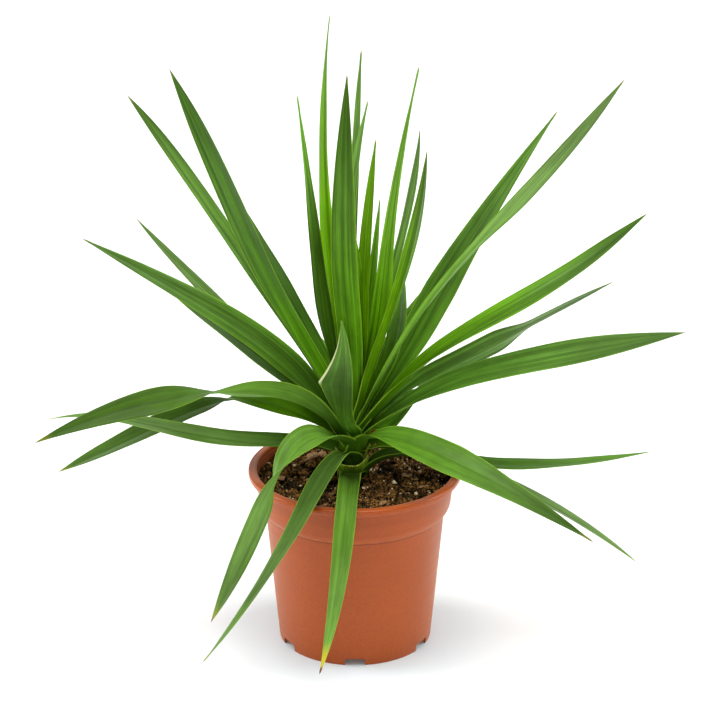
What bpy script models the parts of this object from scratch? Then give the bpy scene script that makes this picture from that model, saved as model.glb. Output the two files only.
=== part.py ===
# Potted dragon tree: a rosette of strap leaves on a short stem, planted in a nursery pot.
# Metres, +Z up. The origin is on the floor, on the pot's axis. +X is right, -Y is the front.
import bmesh
import bpy
import numpy as np
from math import atan2, cos, pi, radians, sin, tan
from mathutils import Matrix, Quaternion, Vector, noise
from mathutils.geometry import interpolate_bezier

MM = 0.001
CLEARANCE = 0.3 * MM

# pot
RIM_RADIUS = 95 * MM
POT_HEIGHT = 163 * MM
FOOT_RADIUS = 68.4 * MM
WALL = 1.8 * MM
LIP_HEIGHT = 6 * MM
COLLAR_FOOT = 124.5 * MM
COLLAR_FOOT_RADIUS = 80 * MM
COLLAR_SHOULDER = 9 * MM
COLLAR_STEP = 5.6 * MM
LIP_OVERHANG = 6.5 * MM
POT_SEGMENTS = 48
NOTCHES = 6
NOTCH_WIDTH = 18 * MM
NOTCH_HEIGHT = 6.5 * MM
NOTCH_DEPTH = 16 * MM
FLOOR_HEIGHT = 9 * MM
FLOOR_THICKNESS = 2 * MM
DRAIN_RADIUS = 5 * MM
DRAIN_CIRCLE = 46 * MM

# soil
SOIL_LEVEL = 152.5 * MM
SOIL_CROWN = 2.5 * MM
SOIL_LUMP = 22 * MM
SOIL_LUMP_HEIGHT = 2.2 * MM
SOIL_SEGMENTS = 24
SOIL_RINGS = 6

# stem
STEM_X = -2 * MM
STEM_FOOT = 120 * MM
STEM_RADIUS = 12.5 * MM
STEM_TOP = 224 * MM
STEM_TOP_RADIUS = 5 * MM
STEM_TAPER_START = 170 * MM
STEM_SEGMENTS = 16

# leaves: heights, reach and width in millimetres, angles in degrees
#   azimuth, reach, tip: where the tip is, round the stem, out from it and above the floor
#   root, turn: where the leaf leaves the stem, and how far round from its own azimuth
#   rise, spring: the slope at the root, and how firmly the curve follows it
#   fall, trail, lean: the slope at the tip, how firmly it holds, and its sideways swing
#   width, neck, belly, taper: the widest width, the share kept at the root, where it is widest,
#   and how the blade narrows after it
#   roll: turn of the blade about its own length; twist, where, over: an extra turn part of the way along
#   flare, corner: a torn margin on one side, how far it stands out and where
LEAF_RINGS = 18
LEAF_THICKNESS = 1.4 * MM
NECK_SHARE = 0.42
NECK_FOLD = 26
BLADE_FOLD = 10
FLARE_SHARE = 0.24

LEAVES = {
    # the young crown, nearly upright
    "crown_leaf_01": dict(azimuth=142, turn=6, reach=24, tip=573, root=223, rise=78, fall=100, width=19.5,
                          neck=0.42, belly=0.49, taper=1.1, spring=0.32, trail=0.38, roll=7, lean=2),
    "crown_leaf_02": dict(azimuth=221, turn=-12, reach=61, tip=519, root=217, rise=70, fall=83,
                          width=16.5, neck=0.37, belly=0.36, taper=1.2, spring=0.26, trail=0.47,
                          lean=-3, roll=19),
    "crown_leaf_03": dict(azimuth=264, turn=4, reach=41, tip=537, root=216, rise=83, fall=106,
                          width=22.5, neck=0.3, belly=0.43, taper=2.2, spring=0.43, trail=0.63, lean=1,
                          roll=1),
    "crown_leaf_04": dict(azimuth=79, turn=10, reach=40, tip=535, root=223, rise=82, fall=89, width=7.5,
                          neck=0.42, belly=0.56, taper=2.6, spring=0.2, trail=0.3, roll=-4, lean=-4),
    "crown_leaf_05": dict(azimuth=68, turn=-28, reach=36, tip=492, root=223, rise=82, fall=69, width=12,
                          neck=0.38, belly=0.48, taper=2, spring=0.37, trail=0.58, roll=-1, lean=-6),
    "crown_leaf_06": dict(azimuth=45, turn=-34, reach=28, tip=462, root=217, rise=82, fall=73, width=11,
                          neck=0.52, belly=0.62, taper=2.6, spring=0.45, trail=0.65, lean=6, roll=20),
    "crown_leaf_07": dict(azimuth=60, turn=10, reach=47, tip=401, root=217, rise=77, fall=78, width=9,
                          neck=0.55, belly=0.47, taper=1.9, spring=0.32, trail=0.41, lean=2, roll=-7),
    "crown_leaf_08": dict(azimuth=49, turn=-18, reach=88, tip=513, root=211, rise=70, fall=69, width=17,
                          neck=0.4, belly=0.28, taper=1.1, spring=0.34, trail=0.49, roll=1),
    "crown_leaf_09": dict(azimuth=61, turn=17, reach=123, tip=443, root=213, rise=49, fall=73,
                          width=13.5, neck=0.43, belly=0.62, taper=2.6, spring=0.16, trail=0.33, lean=8,
                          roll=-29),
    "crown_leaf_10": dict(azimuth=324, turn=5, reach=77, tip=472, root=214, rise=74, fall=84, width=19,
                          neck=0.34, belly=0.62, taper=2, spring=0.44, trail=0.36, lean=-4, roll=-2),
    "crown_leaf_11": dict(azimuth=300, turn=-30, reach=5, tip=378, root=223, rise=88, fall=96, width=9,
                          neck=0.42),
    "crown_leaf_12": dict(azimuth=36, turn=0, reach=53, tip=346, root=208, rise=50, fall=90, width=20,
                          neck=0.5, belly=0.62, taper=2.1, spring=0.38, trail=0.46, roll=-1, lean=3),
    # upper leaves
    "upper_leaf_01": dict(azimuth=140, turn=2, reach=268, tip=455, root=203, rise=57, fall=23, width=18,
                          neck=0.49, belly=0.62, taper=2.6, spring=0.16, trail=0.25, lean=-14),
    "upper_leaf_02": dict(azimuth=149, turn=6, reach=188, tip=502, root=208, rise=56, fall=63, width=30,
                          neck=0.37, belly=0.62, taper=2.2, spring=0.46, trail=0.65, lean=1),
    "upper_leaf_03": dict(azimuth=128, turn=-3, reach=164, tip=366, root=216, rise=47, fall=46,
                          width=15, neck=0.43, belly=0.53, taper=1.8, spring=0.27, trail=0.39, lean=-1,
                          roll=-6),
    "upper_leaf_04": dict(azimuth=37, reach=230, tip=450, root=202, rise=44, fall=47, width=28.5,
                          neck=0.36, belly=0.42, taper=1.1, spring=0.32, trail=0.65, lean=-4, roll=45),
    "upper_leaf_05": dict(azimuth=340, turn=5, reach=236, tip=544, root=210, rise=66, fall=55, width=14,
                          neck=0.54, belly=0.62, taper=2.6, spring=0.46, trail=0.54, lean=-5, roll=-27,
                          twist=-40, where=0.56, over=0.19),
    "upper_leaf_06": dict(azimuth=26, turn=0, reach=72, tip=226, root=189, rise=22, fall=20, width=24,
                          neck=0.85, belly=0.3, taper=1.5, roll=40),
    # middle leaves
    "middle_leaf_01": dict(azimuth=178, turn=6, reach=234, tip=375, root=198, rise=56, fall=25,
                           width=25, neck=0.44, belly=0.28, taper=1.8, spring=0.34, trail=0.65,
                           lean=-10, roll=-48),
    "middle_leaf_02": dict(azimuth=149, turn=8, reach=229, tip=356, root=197, rise=42, fall=39,
                           width=20, neck=0.42, belly=0.62, taper=2.1, spring=0.31, trail=0.34, lean=-3,
                           roll=8),
    "middle_leaf_03": dict(azimuth=347, turn=-7, reach=254, tip=421, root=200, rise=55, fall=50,
                           width=30, neck=0.29, belly=0.62, taper=1.9, spring=0.49, trail=0.62,
                           lean=-20, roll=20),
    "middle_leaf_04": dict(azimuth=9, turn=-3, reach=233, tip=325, root=198, rise=51, fall=29, width=30,
                           neck=0.36, belly=0.62, taper=2.6, spring=0.24, trail=0.64, lean=-2, roll=-65,
                           twist=28, where=0.61, over=0.15),
    "middle_leaf_05": dict(azimuth=354, reach=283, tip=303, root=194, rise=38, fall=17, width=30, neck=0.39,
                           belly=0.62, taper=1.8, spring=0.38, trail=0.65, roll=27, lean=-6),
    "middle_leaf_06": dict(azimuth=256, reach=40, tip=318, root=198, rise=40, fall=87, width=16, neck=0.95,
                           belly=0.38, taper=2.2, spring=0.58, trail=0.47, roll=-6, lean=-8, flare=16,
                           corner=0.54),
    # lower leaves
    "lower_leaf_01": dict(azimuth=208, turn=4, reach=300, tip=247, root=192, rise=59, fall=-20,
                          width=30, neck=0.36, belly=0.28, taper=2.3, spring=0.37, trail=0.25, lean=-9,
                          roll=46, twist=-81, where=0.53, over=0.36),
    "lower_leaf_02": dict(azimuth=180, reach=271, tip=208, root=181, rise=-1, fall=-11, width=26.5,
                          neck=0.32, belly=0.28, taper=1.4, spring=0.56, trail=0.3, roll=-10, lean=1),
    "lower_leaf_03": dict(azimuth=170, turn=-4, reach=272, tip=136, root=190, rise=29, fall=-28, width=27,
                          neck=0.47, belly=0.57, taper=2.5, spring=0.45, trail=0.65, roll=-72, twist=124,
                          where=0.32, lean=-1),
    "lower_leaf_04": dict(azimuth=312, turn=-14, reach=294, tip=193, root=184, rise=73, fall=-18,
                          width=30, neck=0.53, taper=1.1, spring=0.18, trail=0.25, lean=10, roll=32),
    "lower_leaf_05": dict(azimuth=348, turn=8, reach=266, tip=202, root=183, rise=5, fall=15, width=26,
                          neck=0.6, belly=0.53, taper=1.8, spring=0.26, trail=0.65, roll=-2, lean=5),
    "lower_leaf_06": dict(azimuth=350, turn=-4, reach=255, tip=90, root=163, rise=50, fall=-25, width=27.5,
                          neck=0.55, belly=0.62, taper=2.6, spring=0.21, trail=0.53, roll=-11, lean=-20),
    # drooping leaves
    "drooping_leaf_01": dict(azimuth=238, reach=223, tip=105, root=190, rise=31, fall=-47, width=26,
                             neck=0.46, belly=0.62, taper=2.6, spring=0.55, trail=0.64, roll=-38, twist=137,
                             where=0.44, lean=-7),
    "drooping_leaf_02": dict(azimuth=245, turn=8, reach=287, tip=105, root=177, rise=38, fall=-5, width=22,
                             neck=0.57, belly=0.28, taper=1.1, spring=0.25, trail=0.65, roll=20, lean=2),
    "drooping_leaf_03": dict(azimuth=257, turn=10, reach=128, tip=21, root=164, rise=32, fall=-95,
                             width=19.5, neck=0.9, belly=0.28, taper=2.2, spring=0.65, trail=0.57, roll=-30,
                             lean=-15),
    # rear leaves
    "rear_leaf_01": dict(azimuth=66, turn=6, reach=250, tip=290, root=197, rise=34, fall=20, width=22),
    "rear_leaf_02": dict(azimuth=150, turn=-12, reach=225, tip=315, root=186, rise=40, fall=30, width=22,
                         neck=0.42),
    "rear_leaf_03": dict(azimuth=96, turn=0, reach=140, tip=335, root=209, rise=60, fall=56, width=20,
                         neck=0.36),
    "rear_leaf_04": dict(azimuth=76, turn=-12, reach=220, tip=205, root=186, rise=30, fall=-20,
                         width=22),
    "rear_leaf_05": dict(azimuth=102, turn=14, reach=215, tip=210, root=184, rise=36, fall=-16,
                         width=22),
    "rear_leaf_06": dict(azimuth=88, turn=6, reach=262, tip=246, root=190, rise=32, fall=-8, width=24),
    "rear_leaf_07": dict(azimuth=94, turn=2, reach=262, tip=300, root=201, rise=50, fall=10, width=24),
    "rear_leaf_08": dict(azimuth=86, turn=-4, reach=240, tip=80, root=176, rise=36, fall=-56, width=22),
    "rear_leaf_09": dict(azimuth=96, turn=10, reach=250, tip=95, root=174, rise=34, fall=-52, width=22),
}


def remove_everything():
    for item in list(bpy.data.objects):
        bpy.data.objects.remove(item, do_unlink=True)


def make_material(name, colour, roughness, metallic=0.0):
    material = bpy.data.materials.new(name)
    material.use_nodes = True
    shader = material.node_tree.nodes["Principled BSDF"]
    shader.inputs["Base Color"].default_value = (*colour, 1.0)
    shader.inputs["Roughness"].default_value = roughness
    shader.inputs["Metallic"].default_value = metallic
    return material


def add_object(name, mesh_builder, material, sharp_angle=35):
    """Turns a bmesh into a named object with smooth round faces and crisp edges."""
    mesh = bpy.data.meshes.new(name)
    bmesh.ops.recalc_face_normals(mesh_builder, faces=mesh_builder.faces)
    mesh_builder.to_mesh(mesh)
    mesh_builder.free()
    mesh.materials.append(material)
    mesh.shade_smooth()
    mesh.set_sharp_from_angle(angle=radians(sharp_angle))
    item = bpy.data.objects.new(name, mesh)
    bpy.context.collection.objects.link(item)
    return item


def ring_vertices(mesh_builder, radius, height, segments, centre_x=0.0):
    vertices = []
    for step in range(segments):
        angle = 2 * pi * step / segments
        place = (centre_x + radius * cos(angle), radius * sin(angle), height)
        vertices.append(mesh_builder.verts.new(place))
    return vertices


def bridge(mesh_builder, ring_a, ring_b):
    count = len(ring_a)
    for step in range(count):
        follow = (step + 1) % count
        mesh_builder.faces.new((ring_a[step], ring_a[follow], ring_b[follow], ring_b[step]))


def turned(profile, segments, centre_x=0.0):
    """A body of revolution from (radius, height) points. Radius 0 closes an end to a point."""
    mesh_builder = bmesh.new()
    rings = []
    for radius, height in profile:
        if radius == 0:
            rings.append(mesh_builder.verts.new((centre_x, 0, height)))
        else:
            rings.append(ring_vertices(mesh_builder, radius, height, segments, centre_x))
    for ring_a, ring_b in zip(rings, rings[1:]):
        if isinstance(ring_a, list) and isinstance(ring_b, list):
            bridge(mesh_builder, ring_a, ring_b)
            continue
        point, ring = (ring_b, ring_a) if isinstance(ring_a, list) else (ring_a, ring_b)
        for step in range(segments):
            mesh_builder.faces.new((ring[step], ring[(step + 1) % segments], point))
    return mesh_builder


# ---------------------------------------------------------------- pot

def wall_radius(height):
    """Outer radius of the plain tapered wall below the collar."""
    return FOOT_RADIUS + (COLLAR_FOOT_RADIUS - FOOT_RADIUS) * height / COLLAR_FOOT


def arc_points(centre, radius, start, end, steps):
    points = []
    for step in range(steps + 1):
        angle = radians(start + (end - start) * step / steps)
        points.append((centre[0] + radius * cos(angle), centre[1] + radius * sin(angle)))
    return points


def pot_profile():
    """Closed section of the pot's wall: up the outside, over the lip and down the inside."""
    lip_foot = POT_HEIGHT - LIP_HEIGHT
    lip_round = LIP_HEIGHT / 2
    collar_radius = RIM_RADIUS - LIP_OVERHANG
    shoulder = COLLAR_FOOT + COLLAR_SHOULDER
    outside = [
        (wall_radius(0), 0),
        (wall_radius(COLLAR_FOOT * 0.5), COLLAR_FOOT * 0.5),
        (COLLAR_FOOT_RADIUS, COLLAR_FOOT),
        (COLLAR_FOOT_RADIUS + 2.6 * MM, COLLAR_FOOT + 2.2 * MM),
        (COLLAR_FOOT_RADIUS + 4.6 * MM, COLLAR_FOOT + 5.2 * MM),
        (COLLAR_FOOT_RADIUS + COLLAR_STEP, shoulder),
        (collar_radius, lip_foot),
    ]
    lip_centre = (RIM_RADIUS - lip_round, POT_HEIGHT - lip_round)
    lip = arc_points(lip_centre, lip_round, -75, 90, 5)
    lip.append((RIM_RADIUS - LIP_HEIGHT, POT_HEIGHT - 0.8 * MM))
    inside = [
        (collar_radius - WALL, lip_foot),
        (COLLAR_FOOT_RADIUS + COLLAR_STEP - WALL, shoulder),
        (COLLAR_FOOT_RADIUS - WALL, COLLAR_FOOT - 1 * MM),
        (wall_radius(FLOOR_HEIGHT) - WALL, FLOOR_HEIGHT),
    ]
    return outside + lip + inside


def inner_radius(height):
    """Inner radius of the pot's wall at a height, read from the inside of its section."""
    inside = pot_profile()[-4:][::-1]
    heights = [point[1] for point in inside]
    radii = [point[0] for point in inside]
    return float(np.interp(height, heights, radii))


def cutter(name, mesh_builder):
    mesh = bpy.data.meshes.new(name)
    bmesh.ops.recalc_face_normals(mesh_builder, faces=mesh_builder.faces)
    mesh_builder.to_mesh(mesh)
    mesh_builder.free()
    item = bpy.data.objects.new(name, mesh)
    bpy.context.collection.objects.link(item)
    item.hide_render = True
    item.display_type = "WIRE"
    return item


def cut(target, tool):
    modifier = target.modifiers.new("cut_" + tool.name, "BOOLEAN")
    modifier.operation = "DIFFERENCE"
    modifier.solver = "EXACT"
    modifier.object = tool


def build_pot():
    """One moulded piece: wall, collar, rolled lip, raised floor, foot notches and drain holes."""
    profile = pot_profile()
    floor_under = FLOOR_HEIGHT - FLOOR_THICKNESS
    mesh_builder = bmesh.new()
    rings = [ring_vertices(mesh_builder, radius, height, POT_SEGMENTS) for radius, height in profile]
    for ring_a, ring_b in zip(rings, rings[1:]):
        bridge(mesh_builder, ring_a, ring_b)
    foot_inner = ring_vertices(mesh_builder, wall_radius(0) - WALL, 0, POT_SEGMENTS)
    under = ring_vertices(mesh_builder, wall_radius(floor_under) - WALL, floor_under, POT_SEGMENTS)
    bridge(mesh_builder, foot_inner, rings[0])
    bridge(mesh_builder, foot_inner, under)
    mesh_builder.faces.new(rings[-1])
    mesh_builder.faces.new(under)
    pot = add_object("pot", mesh_builder, make_material("terracotta_plastic", (0.46, 0.13, 0.05), 0.42))

    notches = bmesh.new()
    for step in range(NOTCHES):
        angle = -pi / 2 + 2 * pi * step / NOTCHES
        place = Matrix.Rotation(angle, 4, "Z") @ Matrix.Translation((FOOT_RADIUS, 0, 0))
        size = Matrix.Diagonal((NOTCH_DEPTH, NOTCH_WIDTH, 2 * NOTCH_HEIGHT, 1))
        bmesh.ops.create_cube(notches, size=1.0, matrix=place @ size)
    cut(pot, cutter("notch_cutters", notches))

    drains = bmesh.new()
    for step in range(NOTCHES):
        angle = -pi / 2 + 2 * pi * (step + 0.5) / NOTCHES
        centre = Vector((DRAIN_CIRCLE * cos(angle), DRAIN_CIRCLE * sin(angle), FLOOR_HEIGHT))
        bmesh.ops.create_cone(drains, cap_ends=True, segments=12, radius1=DRAIN_RADIUS,
                              radius2=DRAIN_RADIUS, depth=5 * FLOOR_THICKNESS,
                              matrix=Matrix.Translation(centre))
    cut(pot, cutter("drain_cutters", drains))
    return pot


# ---------------------------------------------------------------- soil and stem

def soil_height(x, y):
    """The settled surface: a low mound with soft lumps, level near the wall."""
    reach = min(1.0, (x * x + y * y) ** 0.5 / inner_radius(SOIL_LEVEL))
    lumps = noise.noise(Vector((x, y, 0)) / SOIL_LUMP) * SOIL_LUMP_HEIGHT
    return SOIL_LEVEL + SOIL_CROWN * (1 - reach ** 2) + lumps * (1 - reach ** 6)


def build_soil():
    """Fills the pot from its floor to the surface, with a blind hole for the stem."""
    mesh_builder = bmesh.new()
    floor = FLOOR_HEIGHT + CLEARANCE
    heights = [floor, COLLAR_FOOT * 0.5, COLLAR_FOOT - 1 * MM, COLLAR_FOOT + COLLAR_SHOULDER]
    sides = [ring_vertices(mesh_builder, inner_radius(height) - 2 * CLEARANCE, height, SOIL_SEGMENTS)
             for height in heights]
    mesh_builder.faces.new(sides[0])
    for ring_a, ring_b in zip(sides, sides[1:]):
        bridge(mesh_builder, ring_a, ring_b)
    hole = STEM_RADIUS + 2 * CLEARANCE
    edge = inner_radius(SOIL_LEVEL) - 2 * CLEARANCE
    previous = sides[-1]
    for step in range(SOIL_RINGS + 1):
        share = step / SOIL_RINGS
        radius = edge + (hole - edge) * share
        ring = ring_vertices(mesh_builder, radius, 0, SOIL_SEGMENTS, STEM_X * share)
        for vertex in ring:
            vertex.co.z = soil_height(vertex.co.x, vertex.co.y)
        bridge(mesh_builder, previous, ring)
        previous = ring
    bottom = ring_vertices(mesh_builder, hole, STEM_FOOT - CLEARANCE, SOIL_SEGMENTS, STEM_X)
    bridge(mesh_builder, previous, bottom)
    mesh_builder.faces.new(bottom)
    return add_object("soil", mesh_builder, make_material("potting_soil", (0.045, 0.026, 0.014), 0.95))


def stem_radius(height):
    """The stem is straight up to its first leaves, then narrows evenly to the growing tip."""
    share = (height - STEM_TAPER_START) / (STEM_TOP - STEM_TAPER_START)
    share = min(1.0, max(0.0, share))
    return STEM_RADIUS + (STEM_TOP_RADIUS - STEM_RADIUS) * share


def build_stem():
    profile = [
        (0, STEM_FOOT),
        (STEM_RADIUS - 3 * MM, STEM_FOOT),
        (STEM_RADIUS, STEM_FOOT + 5 * MM),
        (STEM_RADIUS, STEM_TAPER_START),
        (STEM_TOP_RADIUS, STEM_TOP),
        (STEM_TOP_RADIUS * 0.6, STEM_TOP + 2.4 * MM),
        (0, STEM_TOP + 3.2 * MM),
    ]
    mesh_builder = turned(profile, STEM_SEGMENTS, STEM_X)
    return add_object("stem", mesh_builder, make_material("green_stem", (0.20, 0.27, 0.06), 0.6))


# ---------------------------------------------------------------- leaves

def outward(azimuth):
    return Vector((cos(radians(azimuth)), sin(radians(azimuth)), 0))


def smooth(value):
    value = min(1.0, max(0.0, value))
    return value * value * (3 - 2 * value)


def leaf_spine(leaf, samples=80):
    """Centre line of a leaf: one cubic curve from the stem to the tip."""
    start_azimuth = leaf["azimuth"] + leaf.get("turn", 0)
    axis = Vector((STEM_X, 0, 0))
    root = leaf["root"] * MM
    rise = radians(leaf["rise"])
    fall = radians(leaf["fall"])
    gap = stem_radius(root) + CLEARANCE + LEAF_THICKNESS / 2 * sin(rise)
    start = axis + outward(start_azimuth) * gap + Vector((0, 0, root))
    tip = axis + outward(leaf["azimuth"]) * leaf["reach"] * MM + Vector((0, 0, leaf["tip"] * MM))
    length = (tip - start).length
    leave = outward(start_azimuth) * cos(rise) + Vector((0, 0, sin(rise)))
    arrive = outward(leaf["azimuth"]) * cos(fall) + Vector((0, 0, sin(fall)))
    arrive += outward(leaf["azimuth"] + 90) * tan(radians(leaf.get("lean", 0)))
    arrive.normalize()
    near = start + leave * length * leaf.get("spring", 0.33)
    far = tip - arrive * length * leaf.get("trail", 0.4)
    points = interpolate_bezier(start, near, far, tip, samples)
    return [Vector(point) for point in points]


def spine_stations(points, count):
    """Evenly spaced places on the spine, each with its share of the length and its direction."""
    steps = [0.0]
    for a, b in zip(points, points[1:]):
        steps.append(steps[-1] + (b - a).length)
    shares = np.array(steps) / steps[-1]
    grid = np.array([tuple(point) for point in points])
    stations = []
    for index in range(count + 1):
        share = index / count
        place = Vector([float(np.interp(share, shares, grid[:, axis])) for axis in range(3)])
        low = min(int(np.searchsorted(shares, share)), len(points) - 2)
        low = max(low - 1, 0)
        direction = (points[low + 2 if low + 2 < len(points) else low + 1] - points[low]).normalized()
        stations.append((share, place, direction))
    return stations


def leaf_width(leaf, share):
    """Blade width: a narrow neck, the belly, then a long even taper to the tip."""
    belly = leaf.get("belly", 0.45)
    neck = leaf.get("neck", NECK_SHARE)
    if share < belly:
        swell = sin(pi / 2 * share / belly) ** 1.2
        return leaf["width"] * MM * (neck + (1 - neck) * swell)
    past = (share - belly) / (1 - belly)
    return leaf["width"] * MM * (1 - past ** leaf.get("taper", 1.7))


def leaf_flare(leaf, share):
    """A torn margin that stands out to a corner on one side of the blade."""
    away = abs(share - leaf.get("corner", 0.5)) / FLARE_SHARE
    return leaf.get("flare", 0) * MM * max(0.0, 1 - away) ** 1.4


def leaf_fold(leaf, share):
    """Half-angle of the channel: it hugs the stem, deepens in the neck and opens in the blade."""
    around = stem_radius(leaf["root"] * MM) + CLEARANCE
    half = min(leaf_width(leaf, 0) / 2, around * 0.95)
    hug = 0.8 * atan2(around - (around * around - half * half) ** 0.5, half)
    neck = radians(NECK_FOLD)
    fold = hug + (neck - hug) * smooth((share - 0.06) / 0.12)
    return fold + (radians(BLADE_FOLD) - neck) * smooth((share - 0.2) / 0.3)


def leaf_frame(leaf, share, direction):
    """Side and upward directions of the blade, with its roll and any twist along it."""
    azimuth = leaf["azimuth"] + leaf.get("turn", 0) * (1 - smooth(share * 2))
    side = outward(azimuth + 90)
    side = (side - direction * side.dot(direction)).normalized()
    turn = leaf.get("roll", 0) * smooth((share - 0.03) / 0.3)
    turn += leaf.get("twist", 0) * smooth((share - leaf.get("where", 0.5)) / leaf.get("over", 0.3) + 0.5)
    side = Quaternion(direction, radians(turn)) @ side
    return side, direction.cross(side)


def build_leaf(name, leaf, material):
    """A closed blade: four edges (two margins, the groove above and the rib below) to a point."""
    mesh_builder = bmesh.new()
    rings = []
    for share, place, direction in spine_stations(leaf_spine(leaf), LEAF_RINGS):
        side, up = leaf_frame(leaf, share, direction)
        half = leaf_width(leaf, share) / 2
        flared = half + leaf_flare(leaf, share)
        fold = leaf_fold(leaf, share)
        if share == 1:
            rings.append(mesh_builder.verts.new(place))
            continue
        thick = LEAF_THICKNESS / 2 * (1 - 0.5 * share)
        left = place + side * half * cos(fold) + up * half * sin(fold)
        right = place - side * flared * cos(fold) + up * flared * sin(fold)
        corners = (left, place + up * thick, right, place - up * thick)
        rings.append([mesh_builder.verts.new(corner) for corner in corners])
    mesh_builder.faces.new(rings[0])
    for ring_a, ring_b in zip(rings, rings[1:-1]):
        bridge(mesh_builder, ring_a, ring_b)
    for step in range(4):
        mesh_builder.faces.new((rings[-2][step], rings[-2][(step + 1) % 4], rings[-1]))
    bmesh.ops.triangulate(mesh_builder, faces=mesh_builder.faces)
    return add_object(name, mesh_builder, material, sharp_angle=60)


LEAF_COLOURS = {
    "crown": (0.17, 0.36, 0.02),
    "upper": (0.05, 0.17, 0.03),
    "middle": (0.06, 0.20, 0.03),
    "lower": (0.08, 0.24, 0.04),
    "drooping": (0.10, 0.28, 0.05),
    "rear": (0.05, 0.17, 0.03),
}


def build_leaves():
    materials = {tier: make_material(tier + "_leaf", colour, 0.4) for tier, colour in LEAF_COLOURS.items()}
    for name, leaf in LEAVES.items():
        build_leaf(name, leaf, materials[name.split("_")[0]])


def main():
    remove_everything()
    build_pot()
    build_soil()
    build_stem()
    build_leaves()


main()
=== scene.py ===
import random
from math import cos, pi, radians, sin, sqrt, tan

import bmesh
import bpy
from mathutils import Matrix, Quaternion, Vector, noise
from mathutils.geometry import interpolate_bezier


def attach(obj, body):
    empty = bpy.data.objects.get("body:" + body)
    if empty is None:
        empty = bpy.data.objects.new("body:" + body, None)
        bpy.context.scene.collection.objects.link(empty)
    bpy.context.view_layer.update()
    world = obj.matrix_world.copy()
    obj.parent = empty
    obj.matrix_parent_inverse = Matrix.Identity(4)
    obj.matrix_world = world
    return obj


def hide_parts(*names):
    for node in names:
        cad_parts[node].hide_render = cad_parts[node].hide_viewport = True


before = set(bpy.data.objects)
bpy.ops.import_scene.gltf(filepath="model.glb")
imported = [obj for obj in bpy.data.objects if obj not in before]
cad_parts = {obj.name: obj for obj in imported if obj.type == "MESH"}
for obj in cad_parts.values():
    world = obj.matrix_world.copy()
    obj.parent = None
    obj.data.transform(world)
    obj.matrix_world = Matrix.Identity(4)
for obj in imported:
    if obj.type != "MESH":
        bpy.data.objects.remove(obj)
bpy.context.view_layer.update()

mm = 0.001
print("frame loaded:", len(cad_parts), "nodes")


# meshes

def smooth(value):
    value = min(1.0, max(0.0, value))
    return value * value * (3 - 2 * value)


def mix(a, b, share):
    return a + (b - a) * share


def outward(azimuth):
    return Vector((cos(radians(azimuth)), sin(radians(azimuth)), 0))


def newPiece(name, mesh, material, sharpAngle=None):
    # a finished piece: smooth faces, its material, and a place on the one rigid body
    mesh.materials.append(material)
    mesh.shade_smooth()
    if sharpAngle is not None:
        mesh.set_sharp_from_angle(angle=radians(sharpAngle))
    piece = bpy.data.objects.new(name, mesh)
    bpy.context.scene.collection.objects.link(piece)
    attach(piece, "root")
    return piece


def meshFrom(name, points, faces):
    mesh = bpy.data.meshes.new(name)
    mesh.from_pydata([tuple(point) for point in points], [], faces)
    mesh.validate()
    builder = bmesh.new()
    builder.from_mesh(mesh)
    bmesh.ops.recalc_face_normals(builder, faces=builder.faces)
    builder.to_mesh(mesh)
    builder.free()
    return mesh


def paintPoints(mesh, name, values):
    mesh.attributes.new(name, "FLOAT", "POINT").data.foreach_set("value", values)


def paintFaces(mesh, name, values):
    mesh.attributes.new(name, "FLOAT", "FACE").data.foreach_set("value", values)


def loopFaces(ringSize, ringCount):
    # quads between rings of the same size, one after the other
    faces = []
    for ring in range(ringCount - 1):
        for step in range(ringSize):
            follow = (step + 1) % ringSize
            a = ring * ringSize
            b = a + ringSize
            faces.append((a + step, a + follow, b + follow, b + step))
    return faces


# shader nodes

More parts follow.
